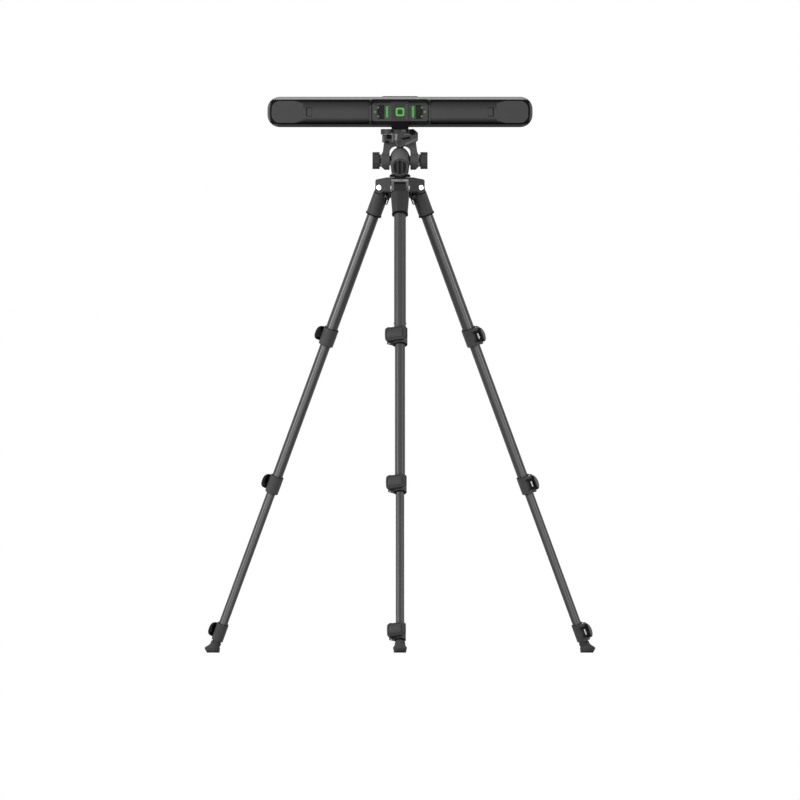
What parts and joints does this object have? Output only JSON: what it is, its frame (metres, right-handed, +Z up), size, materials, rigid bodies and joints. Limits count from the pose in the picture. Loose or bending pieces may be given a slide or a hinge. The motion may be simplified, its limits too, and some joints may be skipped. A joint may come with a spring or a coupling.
{
  "type": "three-d scanner tracking bar on a tripod",
  "caption": "Long optical tracking bar for three-d scanning, with a lit control panel and end grips, on a tripod with a pan, tilt and roll head and telescoping legs.",
  "frame": {"origin": "on the floor, under the middle of the footprint's box", "axes": "+X along the bar to the right of the control side, +Y from the control side to the camera side, +Z up"},
  "size_m": [0.8424, 0.7349, 1.1966],
  "materials": {
    "housing": "satin dark grey moulding",
    "grip": "fine-textured dark grey moulding",
    "panel": "satin dark grey moulding",
    "lights": "green light guide",
    "glass": "dark infrared window",
    "emitters": "dark lens ring",
    "camera": "black anodised",
    "beam": "anodised box section",
    "battery": "shrink-wrapped pack",
    "board": "circuit board",
    "steel": "bright machined",
    "black_foot": "black moulding",
    "head": "dark grey powder coat on a light-alloy casting",
    "knob": "hard rubber-like moulding",
    "tube": "gunmetal anodised, with black moulded clamps",
    "casting": "dark grey moulding",
    "stop": "black moulding",
    "lever": "dark grey moulding",
    "foot": "rubber boot on an anodised tube"
  },
  "bodies": {
    "spider": {"spider": "head", "leg_hinge_bolts": "steel"},
    "column": {"centre_column": "tube", "pan_base": "head"},
    "column_knob": {"column_knob": "knob"},
    "pan": {"pan_body": "head"},
    "pan_knob": {"pan_knob": "knob"},
    "yoke": {"tilt_yoke": "head"},
    "tilt_knob_left": {"tilt_knob_left": "knob"},
    "tilt_knob_right": {"tilt_knob_right": "knob"},
    "tracker": {"rear_housing": "housing", "front_housing": "housing", "grip_panel_left": "grip", "grip_panel_right": "grip", "port_sockets": "camera", "control_panel": "panel", "status_lights": "lights", "camera_windows": "glass", "emitter_rings": "emitters", "camera_modules": "camera", "baseline_beam": "beam", "battery_packs": "battery", "main_board": "board", "top_cover": "housing", "housing_screws": "steel", "mount_foot": "black_foot", "quick_release_plate": "head", "clamp_body": "head"},
    "roll_knob": {"roll_knob": "knob"},
    "clamp_lever": {"clamp_lever": "head"},
    "power_button": {"power_button": "panel"},
    "port_flap_left": {"port_flap_left": "grip"},
    "port_flap_right": {"port_flap_right": "grip"},
    "leg_1": {"leg_1_shoulder": "casting", "leg_1_upper_section": "tube"},
    "leg_1_stop": {"leg_1_angle_stop": "stop"},
    "leg_1_upper_lever": {"leg_1_upper_lever": "lever"},
    "leg_1_middle": {"leg_1_middle_section": "tube"},
    "leg_1_middle_lever": {"leg_1_middle_lever": "lever"},
    "leg_1_lower": {"leg_1_lower_section": "tube"},
    "leg_1_lower_lever": {"leg_1_lower_lever": "lever"},
    "leg_1_foot": {"leg_1_foot_section": "foot"},
    "leg_2": {"leg_2_shoulder": "casting", "leg_2_upper_section": "tube"},
    "leg_2_stop": {"leg_2_angle_stop": "stop"},
    "leg_2_upper_lever": {"leg_2_upper_lever": "lever"},
    "leg_2_middle": {"leg_2_middle_section": "tube"},
    "leg_2_middle_lever": {"leg_2_middle_lever": "lever"},
    "leg_2_lower": {"leg_2_lower_section": "tube"},
    "leg_2_lower_lever": {"leg_2_lower_lever": "lever"},
    "leg_2_foot": {"leg_2_foot_section": "foot"},
    "leg_3": {"leg_3_shoulder": "casting", "leg_3_upper_section": "tube"},
    "leg_3_stop": {"leg_3_angle_stop": "stop"},
    "leg_3_upper_lever": {"leg_3_upper_lever": "lever"},
    "leg_3_middle": {"leg_3_middle_section": "tube"},
    "leg_3_middle_lever": {"leg_3_middle_lever": "lever"},
    "leg_3_lower": {"leg_3_lower_section": "tube"},
    "leg_3_lower_lever": {"leg_3_lower_lever": "lever"},
    "leg_3_foot": {"leg_3_foot_section": "foot"}
  },
  "joints": [
    {"name": "leg_1_fold", "type": "hinge", "parent": "spider", "child": "leg_1", "pos_m": [0, 0.07288, 1.00004], "axis": [1, 0, 0], "range_deg": [0, 21]},
    {"name": "leg_1_stop_pull", "type": "slide", "parent": "leg_1", "child": "leg_1_stop", "axis": [0, 0.9205, -0.3907], "range_m": [0, 0.003], "stiffness_N_per_m": 400},
    {"name": "leg_1_middle_slide", "type": "slide", "parent": "leg_1", "child": "leg_1_middle", "axis": [0, -0.3907, -0.9205], "range_m": [-0.28, 0]},
    {"name": "leg_1_lower_slide", "type": "slide", "parent": "leg_1_middle", "child": "leg_1_lower", "axis": [0, -0.3907, -0.9205], "range_m": [-0.28, 0]},
    {"name": "leg_1_foot_slide", "type": "slide", "parent": "leg_1_lower", "child": "leg_1_foot", "axis": [0, -0.3907, -0.9205], "range_m": [0, 0.28]},
    {"name": "leg_1_upper_lever_hinge", "type": "hinge", "parent": "leg_1", "child": "leg_1_upper_lever", "pos_m": [-0.02354, -0.07494, 0.66409], "axis": [0, -0.3907, -0.9205], "range_deg": [0, 100]},
    {"name": "leg_1_middle_lever_hinge", "type": "hinge", "parent": "leg_1_middle", "child": "leg_1_middle_lever", "pos_m": [-0.02132, -0.20874, 0.34609], "axis": [0, -0.3907, -0.9205], "range_deg": [0, 100]},
    {"name": "leg_1_lower_lever_hinge", "type": "hinge", "parent": "leg_1_lower", "child": "leg_1_lower_lever", "pos_m": [-0.0191, -0.34254, 0.02809], "axis": [0, -0.3907, -0.9205], "range_deg": [0, 100]},
    {"name": "leg_2_fold", "type": "hinge", "parent": "spider", "child": "leg_2", "pos_m": [0.03551, 0.13438, 1.00004], "axis": [-0.5, 0.866, 0], "range_deg": [0, 21]},
    {"name": "leg_2_stop_pull", "type": "slide", "parent": "leg_2", "child": "leg_2_stop", "axis": [-0.7972, -0.4603, -0.3907], "range_m": [0, 0.003], "stiffness_N_per_m": 400},
    {"name": "leg_2_middle_slide", "type": "slide", "parent": "leg_2", "child": "leg_2_middle", "axis": [0.3384, 0.1954, -0.9205], "range_m": [-0.28, 0]},
    {"name": "leg_2_lower_slide", "type": "slide", "parent": "leg_2_middle", "child": "leg_2_lower", "axis": [0.3384, 0.1954, -0.9205], "range_m": [-0.28, 0]},
    {"name": "leg_2_foot_slide", "type": "slide", "parent": "leg_2_lower", "child": "leg_2_foot", "axis": [0.3384, 0.1954, -0.9205], "range_m": [0, 0.28]},
    {"name": "leg_2_upper_lever_hinge", "type": "hinge", "parent": "leg_2", "child": "leg_2_upper_lever", "pos_m": [0.17529, 0.18789, 0.66409], "axis": [0.3384, 0.1954, -0.9205], "range_deg": [0, 100]},
    {"name": "leg_2_middle_lever_hinge", "type": "hinge", "parent": "leg_2_middle", "child": "leg_2_middle_lever", "pos_m": [0.29005, 0.25672, 0.34609], "axis": [0.3384, 0.1954, -0.9205], "range_deg": [0, 100]},
    {"name": "leg_2_lower_lever_hinge", "type": "hinge", "parent": "leg_2_lower", "child": "leg_2_lower_lever", "pos_m": [0.40482, 0.32555, 0.02809], "axis": [0.3384, 0.1954, -0.9205], "range_deg": [0, 100]},
    {"name": "leg_3_fold", "type": "hinge", "parent": "spider", "child": "leg_3", "pos_m": [-0.03551, 0.13438, 1.00004], "axis": [-0.5, -0.866, 0], "range_deg": [0, 21]},
    {"name": "leg_3_stop_pull", "type": "slide", "parent": "leg_3", "child": "leg_3_stop", "axis": [0.7972, -0.4603, -0.3907], "range_m": [0, 0.003], "stiffness_N_per_m": 400},
    {"name": "leg_3_middle_slide", "type": "slide", "parent": "leg_3", "child": "leg_3_middle", "axis": [-0.3384, 0.1954, -0.9205], "range_m": [-0.28, 0]},
    {"name": "leg_3_lower_slide", "type": "slide", "parent": "leg_3_middle", "child": "leg_3_lower", "axis": [-0.3384, 0.1954, -0.9205], "range_m": [-0.28, 0]},
    {"name": "leg_3_foot_slide", "type": "slide", "parent": "leg_3_lower", "child": "leg_3_foot", "axis": [-0.3384, 0.1954, -0.9205], "range_m": [0, 0.28]},
    {"name": "leg_3_upper_lever_hinge", "type": "hinge", "parent": "leg_3", "child": "leg_3_upper_lever", "pos_m": [-0.15174, 0.22867, 0.66409], "axis": [-0.3384, 0.1954, -0.9205], "range_deg": [0, 100]},
    {"name": "leg_3_middle_lever_hinge", "type": "hinge", "parent": "leg_3_middle", "child": "leg_3_middle_lever", "pos_m": [-0.26873, 0.29365, 0.34609], "axis": [-0.3384, 0.1954, -0.9205], "range_deg": [0, 100]},
    {"name": "leg_3_lower_lever_hinge", "type": "hinge", "parent": "leg_3_lower", "child": "leg_3_lower_lever", "pos_m": [-0.38572, 0.35863, 0.02809], "axis": [-0.3384, 0.1954, -0.9205], "range_deg": [0, 100]},
    {"name": "column_slide", "type": "slide", "parent": "spider", "child": "column", "axis": [0, 0, 1], "range_m": [0, 0.2]},
    {"name": "column_knob_turn", "type": "hinge", "parent": "spider", "child": "column_knob", "pos_m": [0, 0.14388, 1.00604], "axis": [0, 1, 0], "continuous": true},
    {"name": "pan_turn", "type": "hinge", "parent": "column", "child": "pan", "pos_m": [0, 0.11388, 1.05804], "axis": [0, 0, 1], "continuous": true},
    {"name": "pan_knob_turn", "type": "hinge", "parent": "pan", "child": "pan_knob", "pos_m": [0, 0.08388, 1.04354], "axis": [0, -1, 0], "continuous": true},
    {"name": "tilt_turn", "type": "hinge", "parent": "pan", "child": "yoke", "pos_m": [0, 0.11388, 1.05804], "axis": [-1, 0, 0], "range_deg": [-30, 60]},
    {"name": "tilt_knob_left_turn", "type": "hinge", "parent": "yoke", "child": "tilt_knob_left", "pos_m": [-0.05, 0.11388, 1.05804], "axis": [-1, 0, 0], "continuous": true},
    {"name": "tilt_knob_right_turn", "type": "hinge", "parent": "yoke", "child": "tilt_knob_right", "pos_m": [0.05, 0.11388, 1.05804], "axis": [1, 0, 0], "continuous": true},
    {"name": "roll_turn", "type": "hinge", "parent": "yoke", "child": "tracker", "pos_m": [0, 0.11388, 1.09604], "axis": [0, 1, 0], "range_deg": [-22, 22]},
    {"name": "roll_knob_turn", "type": "hinge", "parent": "tracker", "child": "roll_knob", "pos_m": [0, 0.14388, 1.09604], "axis": [0, 1, 0], "continuous": true},
    {"name": "clamp_lever_swing", "type": "hinge", "parent": "tracker", "child": "clamp_lever", "pos_m": [-0.026, 0.09588, 1.12024], "axis": [0, 0, 1], "range_deg": [0, 80]},
    {"name": "button_press", "type": "slide", "parent": "tracker", "child": "power_button", "axis": [0, 1, 0], "range_m": [0, 0.0015], "stiffness_N_per_m": 400},
    {"name": "port_flap_left_hinge", "type": "hinge", "parent": "tracker", "child": "port_flap_left", "pos_m": [-0.1903, 0.07288, 1.16259], "axis": [0, 0, 1], "range_deg": [0, 100]},
    {"name": "port_flap_right_hinge", "type": "hinge", "parent": "tracker", "child": "port_flap_right", "pos_m": [0.1903, 0.07288, 1.16259], "axis": [0, 0, -1], "range_deg": [0, 100]}
  ]
}
